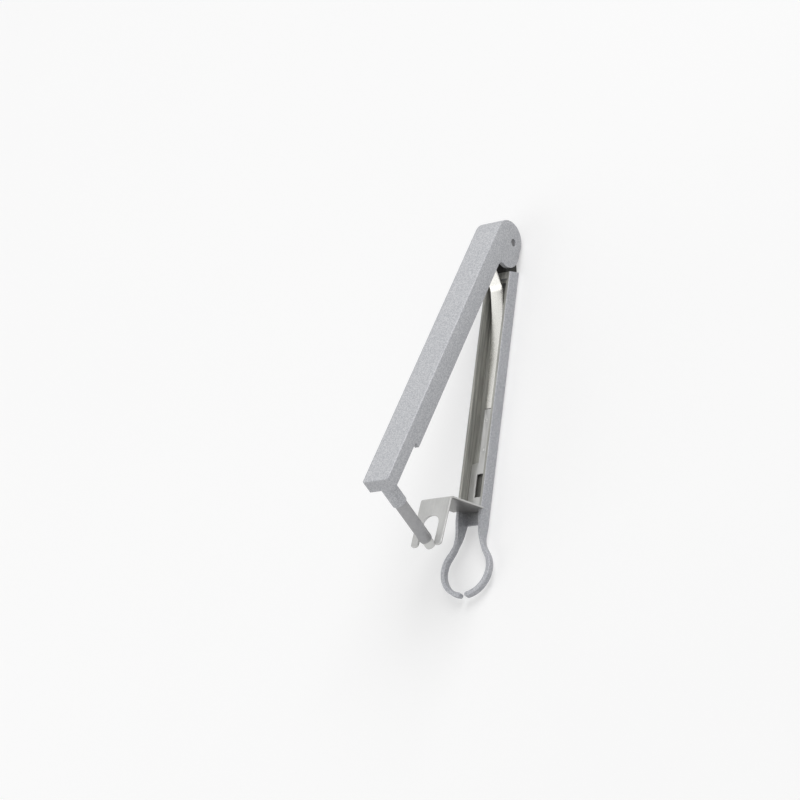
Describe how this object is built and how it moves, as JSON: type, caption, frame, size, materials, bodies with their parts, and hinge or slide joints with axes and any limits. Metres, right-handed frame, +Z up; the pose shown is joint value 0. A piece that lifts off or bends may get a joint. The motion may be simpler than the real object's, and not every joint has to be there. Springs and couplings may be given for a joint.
{
  "type": "cherry pitter with lever",
  "caption": "Hand-held cherry stoner with a sprung lever, a plunger and a fork that strips the fruit.",
  "frame": {"origin": "middle of the flat underside that the lower arm rests on", "axes": "+X from the hinge to the holder ring, +Y along the hinge axis, +Z up"},
  "size_m": [0.1511, 0.0216, 0.0646],
  "materials": {
    "cast_aluminium": "matte die-cast",
    "spring_steel": "polished strip",
    "sheet_steel": "satin sheet",
    "turned_steel": "turned rod"
  },
  "bodies": {
    "lower_body": {"lower_arm": "cast_aluminium", "leaf_spring": "spring_steel", "stripper": "sheet_steel", "strip_rivets": "turned_steel"},
    "lever_body": {"lever": "cast_aluminium", "plunger": "turned_steel", "hinge_pin": "turned_steel"}
  },
  "joints": [
    {"name": "lever_hinge", "type": "hinge", "parent": "lower_body", "child": "lever_body", "pos_m": [-0.06105, 0, 0.007], "axis": [0, 1, 0], "range_deg": [0, 13], "stiffness_Nm_per_rad": 1.2, "springref_deg": -17.19, "deforming": ["leaf_spring"]}
  ]
}
